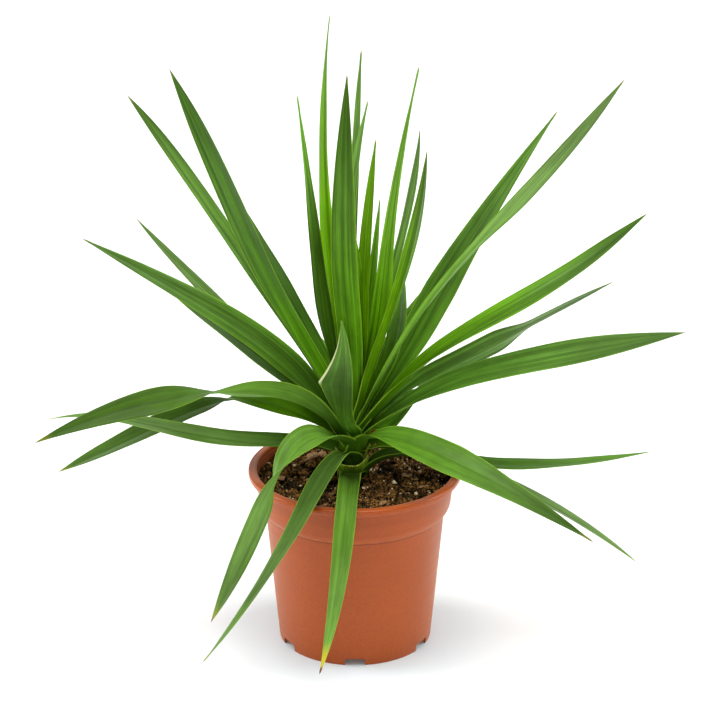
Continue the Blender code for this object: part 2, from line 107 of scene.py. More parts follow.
class Tree:
    # short calls for placing and joining nodes in one node tree
    def __init__(self, tree):
        self.tree = tree

    def node(self, kind, **settings):
        node = self.tree.nodes.new(kind)
        for name, value in settings.items():
            setattr(node, name, value)
        return node

    def join(self, source, target):
        if isinstance(source, bpy.types.NodeSocket):
            self.tree.links.new(source, target)
        elif source is not None:
            target.default_value = source

    def attribute(self, name):
        return self.node("ShaderNodeAttribute", attribute_name=name).outputs["Fac"]

    def math(self, operation, a, b=None, clamp=False):
        node = self.node("ShaderNodeMath", operation=operation, use_clamp=clamp)
        self.join(a, node.inputs[0])
        self.join(b, node.inputs[1])
        return node.outputs[0]

    def times(self, a, b):
        return self.math("MULTIPLY", a, b)

    def scaled(self, value, factor, plus):
        # value times factor, plus the last number or socket
        result = self.math("MULTIPLY_ADD", value, factor)
        self.join(plus, result.node.inputs[2])
        return result

    def objectPlace(self):
        return self.node("ShaderNodeTexCoord").outputs["Object"]

    def stretch(self, vector, factors):
        node = self.node("ShaderNodeVectorMath", operation="MULTIPLY")
        self.join(vector, node.inputs[0])
        node.inputs[1].default_value = factors
        return node.outputs[0]

    def split(self, vector):
        node = self.node("ShaderNodeSeparateXYZ")
        self.join(vector, node.inputs[0])
        return node.outputs

    def ramp(self, value, low, high, outLow=0.0, outHigh=1.0):
        node = self.node("ShaderNodeMapRange", interpolation_type="SMOOTHSTEP")
        self.join(value, node.inputs["Value"])
        node.inputs["From Min"].default_value = low
        node.inputs["From Max"].default_value = high
        node.inputs["To Min"].default_value = outLow
        node.inputs["To Max"].default_value = outHigh
        return node.outputs["Result"]

    def blend(self, share, a, b, mode="MIX"):
        node = self.node("ShaderNodeMix", data_type="RGBA", blend_type=mode)
        self.join(share, node.inputs[0])
        self.join(a, node.inputs[6])
        self.join(b, node.inputs[7])
        return node.outputs[2]

    def vector(self, x, y, z):
        node = self.node("ShaderNodeCombineXYZ")
        for value, socket in zip((x, y, z), node.inputs):
            self.join(value, socket)
        return node.outputs[0]

    def noise(self, vector, scale, detail=2.0, roughness=0.5):
        node = self.node("ShaderNodeTexNoise")
        self.join(vector, node.inputs["Vector"])
        node.inputs["Scale"].default_value = scale
        node.inputs["Detail"].default_value = detail
        node.inputs["Roughness"].default_value = roughness
        return node.outputs["Fac"]

    def place(self, group, **values):
        node = self.node("ShaderNodeGroup", node_tree=group)
        for name, value in values.items():
            self.join(value, node.inputs[name])
        return node


def newGroup(name, inputs, outputs):
    group = bpy.data.node_groups.new(name, "ShaderNodeTree")
    for label, kind, value in inputs:
        socket = group.interface.new_socket(label, in_out="INPUT", socket_type=kind)
        if value is not None:
            socket.default_value = value
    for label, kind in outputs:
        group.interface.new_socket(label, in_out="OUTPUT", socket_type=kind)
    tree = Tree(group)
    return group, tree, tree.node("NodeGroupInput").outputs, tree.node("NodeGroupOutput").inputs


def colour(red, green, blue):
    # from the 0 to 255 of a colour picker to the linear values of a shader
    def linear(value):
        value /= 255
        return value / 12.92 if value <= 0.04045 else ((value + 0.055) / 1.055) ** 2.4
    return (linear(red), linear(green), linear(blue), 1.0)


def newMaterial(name, roughness=0.5, specular=0.5):
    material = bpy.data.materials.new(name)
    material.use_nodes = True
    tree = Tree(material.node_tree)
    shader = material.node_tree.nodes["Principled BSDF"]
    shader.inputs["Roughness"].default_value = roughness
    shader.inputs["Specular IOR Level"].default_value = specular
    return material, tree, shader


def addBump(tree, shader, height, strength, distance):
    bump = tree.node("ShaderNodeBump")
    bump.inputs["Strength"].default_value = strength
    bump.inputs["Distance"].default_value = distance
    tree.join(height, bump.inputs["Height"])
    tree.join(bump.outputs["Normal"], shader.inputs["Normal"])


# leaf finish: one group paints every blade from the values stored on its mesh

def leafPaintGroup():
    inputs = [
        ("Green", "NodeSocketColor", None),      # a grown leaf
        ("WaxyGreyAndSheen", "NodeSocketColor", None),      # the same under a greyish waxy coat, which also carries painted sheen
        ("Young", "NodeSocketColor", None),      # bright new growth
        ("Margin", "NodeSocketColor", None),     # thin pale edge
        ("Sheath", "NodeSocketColor", None),     # clasping foot of the leaf
        ("Yellowing", "NodeSocketColor", None),  # ageing just below the tip
        ("Withered", "NodeSocketColor", None),   # dry tip
        ("Band contrast", "NodeSocketFloat", 0.3),
        ("Vein contrast", "NodeSocketFloat", 0.48),
    ]
    outputs = [("Color", "NodeSocketColor"), ("Roughness", "NodeSocketFloat"), ("Height", "NodeSocketFloat")]
    group, tree, given, result = newGroup("leafPaint", inputs, outputs)
    across = tree.attribute("across")
    along = tree.attribute("along")
    face = tree.attribute("face")
    seed = tree.attribute("seed")
    edge = tree.math("ABSOLUTE", across)

    # lengthwise bands: partly the blade's own stripes, partly painted sheen and painted shade of its folds
    wideAcross = tree.times(across, 3.2)
    bands = tree.noise(tree.vector(wideAcross, tree.times(along, 0.9), seed), 1.0, 1.0)
    fineAcross = tree.times(across, 9.0)
    veins = tree.noise(tree.vector(fineAcross, tree.times(along, 2.5), seed), 1.0, 4.0, 0.72)
    cloud = tree.noise(tree.vector(across, tree.times(along, 7.0), seed), 1.3, 3.0, 0.6)

    # painted sheen: the greyish colour stands partly for a real waxy coat, partly for light reflected off the
    # blade
    base = tree.blend(tree.attribute("waxyGreyAndSheen"), given["Green"], given["WaxyGreyAndSheen"])
    base = tree.blend(tree.attribute("young"), base, given["Young"])
    light = tree.scaled(tree.ramp(bands, 0.3, 0.7, -0.5, 0.5), given["Band contrast"], 1.0)
    fine = tree.scaled(tree.ramp(veins, 0.34, 0.66, -0.5, 0.5), given["Vein contrast"], 1.0)
    soft = tree.ramp(cloud, 0.3, 0.7, 0.87, 1.13)
    shade = tree.times(tree.times(light, fine), soft)
    shade = tree.times(shade, tree.ramp(edge, 0.0, 0.13, 0.93, 1.0))
    painted = tree.blend(1.0, base, tree.vector(shade, shade, shade), "MULTIPLY")

    foot = tree.ramp(along, 0.015, 0.13, 0.8, 0.0)
    foot = tree.times(foot, tree.ramp(cloud, 0.2, 0.8, 0.6, 1.0))
    painted = tree.blend(foot, painted, given["Sheath"])
    # painted shade: the underside darkens toward the foot, where the leaves crowd round the stem
    under = tree.times(tree.math("SUBTRACT", 1.0, face), tree.ramp(along, 0.02, 0.17, 0.75, 0.0))
    under = tree.times(under, tree.ramp(veins, 0.3, 0.65, 1.0, 0.55))
    painted = tree.blend(under, painted, colour(24, 52, 4))
    # painted light and shade: each leaf is made lighter or darker from foot to tip, partly its own lightness,
    # with painted shade at the crowded foot
    leafToneAndShade = tree.attribute("leafToneAndShade")
    painted = tree.blend(1.0, painted, tree.vector(leafToneAndShade, leafToneAndShade, leafToneAndShade), "MULTIPLY")
    rimWidth = tree.ramp(along, 0.04, 0.22, 0.17, 0.062)          # the pale edge is broader near the foot
    rimFrom = tree.math("SUBTRACT", 1.0, rimWidth)
    rim = tree.math("DIVIDE", tree.math("SUBTRACT", edge, rimFrom), 0.06, clamp=True)
    rim = tree.times(rim, tree.ramp(cloud, 0.2, 0.7, 0.5, 1.0))
    rim = tree.times(rim, tree.ramp(leafToneAndShade, 0.3, 0.8, 0.6, 1.0))
    painted = tree.blend(rim, painted, given["Margin"])
    past = tree.math("SUBTRACT", along, tree.attribute("corner"))
    curled = tree.times(tree.ramp(past, -0.03, 0.02), tree.ramp(along, 0.86, 0.97, 1.0, 0.0))
    curled = tree.times(curled, tree.ramp(across, -0.92, -0.87, 1.0, 0.0))
    curled = tree.times(curled, tree.attribute("cream"))
    painted = tree.blend(curled, painted, colour(214, 220, 164))
    wander = tree.scaled(tree.math("SUBTRACT", veins, 0.5), 0.05, along)
    dry = tree.attribute("dry")                 # how far the tip has aged, from 0 to 1
    yellowFrom = tree.scaled(dry, -0.14, 1.0)
    yellow = tree.math("DIVIDE", tree.math("SUBTRACT", wander, yellowFrom), 0.07, clamp=True)
    yellow = tree.times(yellow, tree.ramp(dry, 0.3, 0.9, 0.4, 1.0))
    painted = tree.blend(yellow, painted, given["Yellowing"])
    brownFrom = tree.scaled(dry, -0.04, 1.0)
    brown = tree.math("DIVIDE", tree.math("SUBTRACT", wander, brownFrom), 0.012, clamp=True)
    painted = tree.blend(brown, painted, given["Withered"])
    tree.join(painted, result["Color"])

    satin = tree.ramp(veins, 0.2, 0.8, 0.32, 0.46)
    dull = tree.ramp(veins, 0.2, 0.8, 0.44, 0.58)
    roughness = tree.node("ShaderNodeMix", data_type="FLOAT")
    tree.join(face, roughness.inputs[0])
    tree.join(dull, roughness.inputs[2])
    tree.join(satin, roughness.inputs[3])
    tree.join(roughness.outputs[0], result["Roughness"])
    height = tree.math("ADD", tree.times(veins, 0.45), tree.times(bands, 1.2))
    tree.join(height, result["Height"])
    return group


leafPaint = leafPaintGroup()

leafFinishes = {
    "crown": dict(green=(76, 124, 12), bands=0.58, shine=(0.45, 0.85)),
    "upper": dict(green=(76, 124, 14), bands=0.56),
    "middle": dict(green=(76, 124, 14), bands=0.54),
    "lower": dict(green=(77, 124, 15), bands=0.24, veins=0.26),
    "drooping": dict(green=(77, 124, 15), bands=0.24, veins=0.26),
    "rear": dict(green=(75, 122, 14), bands=0.50),
}


def leafMaterial(tier, finish):
    material, tree, shader = newMaterial(tier + "Leaf", specular=0.03)
    shader.inputs["Coat Roughness"].default_value = 0.36
    paint = tree.place(leafPaint, **{
        "Green": colour(*finish["green"]),
        "WaxyGreyAndSheen": colour(110, 138, 80),
        "Young": colour(80, 124, 0),
        "Margin": colour(144, 186, 50),
        "Sheath": colour(84, 128, 6),
        "Yellowing": colour(206, 196, 40),
        "Withered": colour(116, 64, 32),
        "Band contrast": finish["bands"],
        "Vein contrast": finish.get("veins", 0.46),
    })
    tree.join(paint.outputs["Color"], shader.inputs["Base Color"])
    tree.join(paint.outputs["Roughness"], shader.inputs["Roughness"])
    fades = finish.get("shine", (0.2, 0.7))     # the sheen fades toward the foot
    shine = tree.ramp(tree.attribute("along"), *fades, 0.0, 0.34)
    shine = tree.times(shine, tree.ramp(tree.attribute("leafToneAndShade"), 0.3, 0.9, 0.2, 1.0))
    tree.join(shine, shader.inputs["Coat Weight"])
    addBump(tree, shader, paint.outputs["Height"], 0.5, 0.25 * mm)
    return material


leafMaterials = {tier: leafMaterial(tier, finish) for tier, finish in leafFinishes.items()}
print("leaf finishes ready")


# leaves

stemShape = dict(x=-2.0, foot=120, radius=12.5, taperStart=170, top=224, topRadius=5.0)

bladeShape = dict(
    rings=66,            # steps along the blade
    sheathRings=9,       # steps along the clasping foot
    strips=16,           # strips across one face, narrower towards the margins
    thickness=1.0,       # middle of the blade, mm
    neckFold=30,         # half-angle of the channel near the stem, degrees
    bladeFold=11,        # half-angle in the open blade
    clasp=15,            # height of the sheath, mm
    pathPoints=160,      # points along the middle line of the blade
    sheathPoints=10,     # points along the middle line of the sheath
    bend=(4, 17),        # first and last of the points that are rounded where the blade leaves the sheath
)

# where each leaf goes, tier by tier: heights, reach and width in mm, angles in degrees;
# most of these shapes and shades were solved by separate programs, not chosen by hand
leafPlan = dict(
    crown=[
        dict(azimuth=142, reach=24, tip=573, root=223, rise=78, fall=100, width=19.5, neck=0.51, belly=0.49,
             taper=1.1, spring=0.32, trail=0.38, lean=2, roll=7, shades=(1.45, 1.8, 1.15), young=1),
        dict(azimuth=221, turn=-12, reach=61, tip=519, root=217, rise=70, fall=83, width=16.5, neck=0.56,
             belly=0.36, taper=1.2, spring=0.26, trail=0.47, lean=-3, roll=19, shades=(0.3, 0.4, 1.65)),
        dict(azimuth=264, turn=4, reach=41, tip=537, root=216, rise=83, fall=106, width=22.5, neck=0.75,
             belly=0.43, taper=2.2, spring=0.43, trail=0.63, lean=1, roll=1, pleat=0.5,
             shades=(1.1, 1.05, 0.55), waxyGreyAndSheen=0.1),
        dict(azimuth=79, turn=20, reach=40, tip=535, root=223, rise=82, fall=89, width=8, neck=0.56,
             belly=0.56, taper=2.6, spring=0.2, trail=0.3, lean=-4, roll=-11, shades=(0.8, 1.05, 1.25),
             waxyGreyAndSheen=0.35),
        dict(azimuth=68, turn=-24, reach=36, tip=492, root=223, rise=82, fall=69, width=12, belly=0.48,
             taper=2, spring=0.37, trail=0.58, lean=-6, roll=-1, shades=(0.8, 1.4, 1.35), waxyGreyAndSheen=0.35),
        dict(azimuth=46, turn=-34, reach=29, tip=461, root=217, rise=84, fall=71, width=11, neck=0.55,
             belly=0.44, taper=2.6, spring=0.28, trail=0.65, lean=8, roll=33, shades=(0.95, 1.1, 1.35),
             young=1),
        dict(azimuth=58, turn=10, reach=45, tip=401, root=217, rise=67, fall=79, width=8.5, neck=0.62,
             belly=0.62, taper=2.2, trail=0.43, lean=1, roll=-7, shades=(0.8, 1.3, 1.7), young=0.55),
        dict(azimuth=49, turn=-18, reach=88, tip=513, root=211, rise=74, fall=72, width=17, neck=0.57,
             belly=0.35, taper=0.8, spring=0.44, trail=0.65, lean=-1, roll=52, shades=(1.2, 1.8, 1.55),
             waxyGreyAndSheen=0.55, young=0.65),
        dict(azimuth=61, turn=17, reach=123, tip=443, root=213, rise=49, fall=73, width=13.5, neck=0.56,
             belly=0.62, taper=2.6, spring=0.16, trail=0.33, lean=8, roll=-29, shades=(0.8, 0.85, 0.7),
             waxyGreyAndSheen=0.25, young=0.35),
        dict(azimuth=324, turn=5, reach=77, tip=472, root=214, rise=74, fall=84, width=19, neck=0.61,
             belly=0.62, taper=2, spring=0.44, trail=0.36, lean=-4, roll=-2, shades=(0.9, 1.25, 0.6),
             young=0.8),
        dict(azimuth=282, turn=60, reach=10, tip=386, root=218, rise=86, fall=91, width=12.5, neck=0.59,
             belly=0.58, taper=2.1, spring=0.22, trail=0.36, lean=-4, roll=6, shades=(0.45, 0.8, 1.3),
             young=0.7),
        dict(azimuth=36, reach=53, tip=346, root=208, rise=50, fall=90, width=24, neck=0.55, belly=0.62,
             taper=2.1, spring=0.38, trail=0.46, lean=3, roll=-1, shades=(1, 0.8, 1.6), waxyGreyAndSheen=0.25),
    ],
    upper=[
        dict(azimuth=140, turn=2, reach=268, tip=455, root=203, rise=57, fall=23, width=18, neck=0.56,
             belly=0.62, taper=2.6, spring=0.16, trail=0.25, lean=-14, shades=(0.8, 1.25, 0.5), waxyGreyAndSheen=0.3,
             young=0.45),
        dict(azimuth=149, turn=6, reach=188, tip=502, root=208, rise=56, fall=63, width=30, neck=0.52,
             belly=0.62, taper=2.2, spring=0.46, trail=0.65, lean=1, shades=(1.5, 0.65, 0.45)),
        dict(azimuth=128, turn=-3, reach=164, tip=366, root=216, rise=47, fall=46, width=15, neck=0.5,
             belly=0.53, taper=1.8, spring=0.27, trail=0.39, lean=-1, roll=-6, shades=(1.3, 0.45, 0.65)),
        dict(azimuth=37, reach=230, tip=450, root=202, rise=44, fall=47, width=28.5, neck=0.66, belly=0.42,
             taper=1.1, spring=0.32, trail=0.65, lean=-4, roll=45, shades=(1.2, 0.65, 1.05), waxyGreyAndSheen=0.2),
        dict(azimuth=340, turn=5, reach=236, tip=544, root=210, rise=66, fall=55, width=14, neck=0.64,
             belly=0.62, taper=2.6, spring=0.46, trail=0.54, lean=-5, roll=-27, twist=-40, where=0.56,
             over=0.19, shades=(1.45, 1.65, 0.85), waxyGreyAndSheen=0.8, young=0.4),
        dict(azimuth=26, reach=72, tip=226, root=195, rise=22, fall=20, width=28, neck=0.85, belly=0.3,
             taper=1.5, roll=60, shades=(1.2, 1.05, 0.8), waxyGreyAndSheen=0.1),
    ],
    middle=[
        dict(azimuth=178, turn=6, reach=234, tip=375, root=198, rise=56, fall=25, width=25, neck=0.71,
             belly=0.28, taper=1.8, spring=0.34, trail=0.65, lean=-10, roll=-48, shades=(0.55, 0.75, 0.7),
             waxyGreyAndSheen=0.15),
        dict(azimuth=149, turn=8, reach=229, tip=356, root=197, rise=42, fall=39, width=20, belly=0.62,
             taper=2.1, spring=0.31, trail=0.34, lean=-3, roll=8, shades=(0.8, 1.05, 0.75), waxyGreyAndSheen=0.75,
             young=0.5),
        dict(azimuth=347, turn=-7, reach=254, tip=421, root=200, rise=55, fall=50, width=30, neck=0.45,
             belly=0.62, taper=1.9, spring=0.49, trail=0.62, lean=-20, roll=20, shades=(0.85, 1.15, 0.55),
             young=0.45),
        dict(azimuth=9, turn=-3, reach=233, tip=325, root=198, rise=51, fall=29, width=30, neck=0.61,
             belly=0.62, taper=2.6, spring=0.24, trail=0.64, lean=-2, roll=-65, twist=28, where=0.61,
             over=0.15, shades=(1, 1, 0.75), waxyGreyAndSheen=0.3, young=0.15),
        dict(azimuth=354, reach=289, tip=303, root=194, rise=38, fall=17, width=30, neck=0.45, belly=0.62,
             taper=1.8, spring=0.38, trail=0.65, lean=-6, roll=27, shades=(1.3, 1.3, 0.7), waxyGreyAndSheen=0.25),
        dict(azimuth=256, reach=40, tip=318, root=198, rise=40, fall=87, width=16, neck=0.95, belly=0.38,
             taper=2.2, spring=0.58, trail=0.47, lean=-8, roll=-6, flare=16, corner=0.54, curl=3.5,
             shades=(1.5, 0.5, 1.3), waxyGreyAndSheen=0.2, cream=1),
    ],
    lower=[
        dict(azimuth=208, turn=4, reach=300, tip=247, root=192, rise=59, fall=-20, width=33, neck=0.42,
             belly=0.28, taper=2.3, spring=0.37, trail=0.25, lean=-9, roll=46, twist=-88, where=0.53,
             over=0.36, shades=(0.35, 0.6, 0.5), waxyGreyAndSheen=0.2, back=2.3, young=0.3, dry=0.4),
        dict(azimuth=180, reach=271, tip=208, root=181, rise=-1, fall=-11, width=26, neck=0.71, belly=0.28,
             taper=2.4, spring=0.56, trail=0.3, lean=1, roll=-10, twist=14, where=0.8, over=0.3,
             shades=(0.9, 0.8, 0.95), waxyGreyAndSheen=0.5, young=0.15, dry=0.45),
        dict(azimuth=170, turn=-4, reach=272, tip=136, root=189, rise=29, fall=-28, width=27, neck=0.47,
             belly=0.57, taper=2.5, spring=0.45, trail=0.65, lean=-1, roll=-72, twist=124, where=0.32,
             over=0.32, shades=(1, 0.45, 0.85), young=0.15, dry=0.4),
        dict(azimuth=312, turn=-14, reach=294, tip=193, root=184, rise=73, fall=-18, width=30, neck=0.45,
             taper=1.1, spring=0.18, trail=0.25, lean=10, roll=32, shades=(1.15, 0.95, 0.45), waxyGreyAndSheen=0.25,
             young=0.25, dry=0.4),
        dict(azimuth=348, turn=4, reach=266, tip=202, root=183, rise=5, fall=15, width=26, neck=0.74,
             belly=0.53, taper=1.8, spring=0.26, trail=0.65, lean=5, roll=-2, shades=(0.7, 0.6, 1.15),
             young=0.15),
        dict(azimuth=350, turn=-4, reach=255, tip=90, root=160, rise=56, fall=-25, width=27.5, neck=0.78,
             belly=0.62, taper=2.6, spring=0.21, trail=0.53, lean=-20, roll=-11, shades=(0.75, 0.65, 1.05),
             waxyGreyAndSheen=0.7, young=0.35),
    ],
    drooping=[
        dict(azimuth=238, reach=223, tip=105, root=190, rise=31, fall=-47, width=26, neck=0.72, belly=0.62,
             taper=2.6, spring=0.55, trail=0.64, lean=-7, roll=-38, twist=137, where=0.44, over=0.35,
             shades=(1.25, 1.15, 0.85), waxyGreyAndSheen=0.45, young=0.25, dry=0.45),
        dict(azimuth=245, turn=12, reach=287, tip=105, root=177, rise=38, fall=-5, width=22, neck=0.45,
             belly=0.28, taper=1.1, spring=0.25, trail=0.65, lean=2, roll=20, shades=(0.6, 0.75, 1.05),
             waxyGreyAndSheen=0.6, young=0.2, dry=0.4),
        dict(azimuth=257, turn=10, reach=128, tip=21, root=162, rise=26, fall=-95, width=19.5, neck=0.9,
             belly=0.28, taper=2.2, spring=0.65, trail=0.57, lean=-15, roll=-30, channel=0.3,
             shades=(-0.3, 1.15, 1.75), waxyGreyAndSheen=0.35, young=0.4, dry=1),
    ],
    rear=[
        dict(azimuth=66, turn=6, reach=250, tip=290, root=197, rise=34, fall=20, width=22,
             shades=(0.4, 0.5, 1.4), young=0.2),
        dict(azimuth=150, reach=225, tip=315, root=190, rise=40, fall=30, width=26, neck=0.8,
             shades=(0.7, 0.9, 1), waxyGreyAndSheen=0.2),
        dict(azimuth=96, reach=140, tip=335, root=209, rise=60, fall=56, width=20, neck=0.56),
        dict(azimuth=76, turn=-12, reach=220, tip=205, root=186, rise=30, fall=-20, width=22),
        dict(azimuth=102, turn=14, reach=215, tip=210, root=184, rise=36, fall=-16, width=22),
        dict(azimuth=88, turn=6, reach=262, tip=246, root=190, rise=32, fall=-8, width=24),
        dict(azimuth=94, turn=2, reach=262, tip=300, root=201, rise=50, fall=10, width=24),
        dict(azimuth=86, turn=-4, reach=240, tip=80, root=176, rise=36, fall=-56, width=22),
        dict(azimuth=96, turn=10, reach=250, tip=95, root=174, rise=34, fall=-52, width=22),
    ],
)


def stemRadius(height):
    share = (height - stemShape["taperStart"]) / (stemShape["top"] - stemShape["taperStart"])
    share = min(1.0, max(0.0, share))
    return mix(stemShape["radius"], stemShape["topRadius"], share)


def leafPath(leaf):
    # points from the foot of the sheath, up the stem and out along the blade, in metres
    azimuth = leaf["azimuth"] + leaf.get("turn", 0)
    axis = Vector((stemShape["x"], 0, 0))
    root = leaf["root"]
    rise, fall = radians(leaf["rise"]), radians(leaf["fall"])
    gap = stemRadius(root) + 0.3 + 0.7 * sin(rise)
    start = axis + outward(azimuth) * gap + Vector((0, 0, root))
    tip = axis + outward(leaf["azimuth"]) * leaf["reach"] + Vector((0, 0, leaf["tip"]))
    length = (tip - start).length
    leave = outward(azimuth) * cos(rise) + Vector((0, 0, sin(rise)))
    arrive = outward(leaf["azimuth"]) * cos(fall) + Vector((0, 0, sin(fall)))
    arrive += outward(leaf["azimuth"] + 90) * tan(radians(leaf.get("lean", 0)))
    arrive.normalize()
    near = start + leave * length * leaf.get("spring", 0.33)
    far = tip - arrive * length * leaf.get("trail", 0.4)
    blade = interpolate_bezier(start, near, far, tip, bladeShape["pathPoints"])
    clasp = bladeShape["clasp"]
    sheath = []
    steps = bladeShape["sheathPoints"]
    for step in range(steps):
        height = root - clasp + clasp * step / steps
        away = stemRadius(height) + 0.5 + 0.6 * step / steps
        sheath.append(axis + outward(azimuth) * away + Vector((0, 0, height)))
    points = sheath + [Vector(point) for point in blade]
    for _ in range(10):                                   # each pass rounds the bend a little more
        for index in range(*bladeShape["bend"]):
            points[index] = (points[index - 1] + points[index] * 2 + points[index + 1]) / 4
    return [point * mm for point in points]


def walkPath(points, stations):
    # places and directions at given lengths along the points
    lengths = [0.0]
    for a, b in zip(points, points[1:]):
        lengths.append(lengths[-1] + (b - a).length)
    walked = []
    index = 0
    for station in stations:
        while index < len(points) - 2 and lengths[index + 1] < station:
            index += 1
        share = (station - lengths[index]) / max(1e-9, lengths[index + 1] - lengths[index])
        place = points[index].lerp(points[index + 1], min(1.0, share))
        before = points[max(0, index - 1)]
        after = points[min(len(points) - 1, index + 2)]
        walked.append((place, (after - before).normalized()))
    return walked


def leafWidth(leaf, share):
    belly = leaf.get("belly", 0.45)
    neck = leaf.get("neck", 0.6)
    if share < belly:
        swell = sin(pi / 2 * max(0.0, share) / belly) ** 1.2
        return leaf["width"] * mm * (neck + (1 - neck) * swell)
    past = (share - belly) / (1 - belly)
    point = 2.0 * mm * sqrt(max(0.0, 1 - share) / 0.02)           # the tip ends in a short blunt point
    return max(leaf["width"] * mm * (1 - past ** leaf.get("taper", 1.7)), min(1.9 * mm, point))


def leafFrame(leaf, share, direction):
    azimuth = leaf["azimuth"] + leaf.get("turn", 0) * (1 - smooth(share * 2))
    side = outward(azimuth + 90)
    side = (side - direction * side.dot(direction)).normalized()
    turn = leaf.get("roll", 0) * smooth((share - 0.03) / 0.3)
    turn += leaf.get("twist", 0) * smooth((share - leaf.get("where", 0.5)) / leaf.get("over", 0.3) + 0.5)
    side = Quaternion(direction, radians(turn)) @ side
    return side, direction.cross(side)


def leafFlare(leaf, share, s):
    # a torn margin that stands out to a corner, on one side only
    if s > 0:
        return 0.0
    away = abs(share - leaf.get("corner", 0.5)) / 0.36
    return leaf.get("flare", 0) * mm * max(0.0, 1 - away) ** 1.7


def sectionLift(leaf, share, s, half, variety):
    # height of the upper face above the spine: a rounded channel, bowed halves and soft pleats
    fold = mix(bladeShape["neckFold"], bladeShape["bladeFold"], smooth((share - 0.12) / 0.33))
    fold = radians(fold * leaf.get("channel", 1) + variety["fold"])
    soft = 0.16
    channel = (sqrt(s * s + soft * soft) - soft) / (sqrt(1 + soft * soft) - soft)
    bow = 0.05 * sin(pi * abs(s)) * smooth(share / 0.3)
    fade = smooth(share / 0.2) * (1 - smooth((share - 0.75) / 0.25))
    pleat = leaf.get("pleat", 0.16) * mm * cos(2 * pi * (2.5 * s + variety["phase"])) * (1 - s * s) * fade
    ripple = 0.35 * mm * sin(2 * pi * (share * variety["ripples"] + variety["phase"])) * s * abs(s) * fade
    curl = leaf.get("curl", 0) * mm * smooth((-s - 0.7) / 0.3)
    curl *= smooth((share - leaf.get("corner", 0.5)) / 0.1 + 0.5) * (1 - smooth((share - 0.85) / 0.15))
    return half * (tan(fold) * channel + bow) + pleat + ripple - curl


def buildLeaf(tier, number, leaf):
    name = "%s_leaf_%02d" % (tier, number)
    dice = random.Random(name)
    variety = dict(fold=dice.uniform(-3, 3), phase=dice.random(), ripples=dice.uniform(1.5, 3.5))
    # shades: the leaf's own lightness with painted light and shade, at the foot, the middle and the tip
    foot, middle, end = leaf.get("shades", (0.7, 1.0, 1.05))     # how light it is from foot to tip
    points = leafPath(leaf)
    total = sum((b - a).length for a, b in zip(points, points[1:]))
    clasp = bladeShape["clasp"] * mm
    blade = total - clasp
    rings, sheathRings, strips = bladeShape["rings"], bladeShape["sheathRings"], bladeShape["strips"]
    stations = [clasp * step / sheathRings for step in range(sheathRings)]
    for step in range(rings):
        share = step / rings
        share = share * 0.75 + 0.25 * (1 - (1 - share) ** 2)      # closer together near the tip
        stations.append(clasp + blade * share * 0.998)
    azimuth = leaf["azimuth"] + leaf.get("turn", 0)
    axis = Vector((stemShape["x"] * mm, 0, 0))
    vertices, across, along, leafToneAndShade, waxyGreyAndSheen = [], [], [], [], []
    footWaxyGreyAndSheen = dict(crown=0.0, upper=0.5).get(tier, 0.8)             # the greyish coat and the painted sheen are thinner toward the foot
    for station, (place, direction) in zip(stations, walkPath(points, stations)):
        share = (station - clasp) / blade
        side, up = leafFrame(leaf, max(0.0, share), direction)
        half = leafWidth(leaf, share) / 2
        hug = 1 - smooth((station - clasp * 0.75) / (clasp * 1.3))
        wrap = mix(150, 62, smooth(station / clasp))
        radial = Vector((place.x, place.y, 0)) - axis
        thick = bladeShape["thickness"] * mm * (1 - 0.55 * max(0.0, share))
        upper, lower = [], []
        for step in range(strips + 1):
            s = 1 - 2 * step / strips
            s = mix(s, sin(pi / 2 * s), 0.6)
            reach = half + leafFlare(leaf, share, s)
            flat = place + side * reach * s + up * sectionLift(leaf, share, s, half, variety)
            away = outward(azimuth + s * wrap)
            hugged = axis + away * radial.length + Vector((0, 0, place.z))
            spot = flat.lerp(hugged, hug)
            inward = up.lerp(-away, hug).normalized()
            body = thick * sqrt(max(0.0, 1 - s * s)) + 0.1 * mm
            upper.append((spot + inward * body / 2, s))
            lower.append((spot - inward * body / 2, s))
        loop = upper + lower[::-1]
        # painted light and shade along the blade, mixed with its own lightness
        light = max(0.15, mix(mix(foot, middle, smooth(share / 0.45)), end, smooth((share - 0.5) / 0.45)))
        waxyGreyAndSheenAmount = leaf.get("waxyGreyAndSheen", 0.0) * mix(footWaxyGreyAndSheen, 1.2, smooth((share - 0.25) / 0.45))
        for index, (spot, s) in enumerate(loop):
            back = leaf.get("back", 1.0) if index > strips else 1.0     # how much lighter the underside is: partly its paler colour, partly painted light
            vertices.append(spot)
            across.append(s)
            along.append(share)
            leafToneAndShade.append(light * back)
            waxyGreyAndSheen.append(waxyGreyAndSheenAmount * back)
    ringSize = 2 * (strips + 1)
    ringCount = len(stations)
    faces = loopFaces(ringSize, ringCount)
    faceSide = [1.0 if index % ringSize < strips else 0.0 for index in range(len(faces))]
    faces.append(tuple(range(ringSize)))
    faceSide.append(0.0)
    tipIndex = len(vertices)
    vertices.append(points[-1])
    across.append(0.0)
    along.append(1.0)
    leafToneAndShade.append(end)
    waxyGreyAndSheen.append(leaf.get("waxyGreyAndSheen", 0.0))
    last = (ringCount - 1) * ringSize
    for step in range(ringSize):
        faces.append((last + step, last + (step + 1) % ringSize, tipIndex))
        faceSide.append(1.0 if step < strips else 0.0)
    mesh = meshFrom(name, vertices, faces)
    for label, values in dict(across=across, along=along, leafToneAndShade=leafToneAndShade, waxyGreyAndSheen=waxyGreyAndSheen).items():
        paintPoints(mesh, label, values)
    for label, usual in dict(cream=0.0, corner=0.0, young=0.0, dry=0.25).items():
        paintPoints(mesh, label, [leaf.get(label, usual)] * len(vertices))
    paintPoints(mesh, "seed", [dice.uniform(0, 50)] * len(vertices))
    paintFaces(mesh, "face", faceSide)
    piece = newPiece("%sLeaf%02d" % (tier, number), mesh, leafMaterials[tier])
    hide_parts(name)


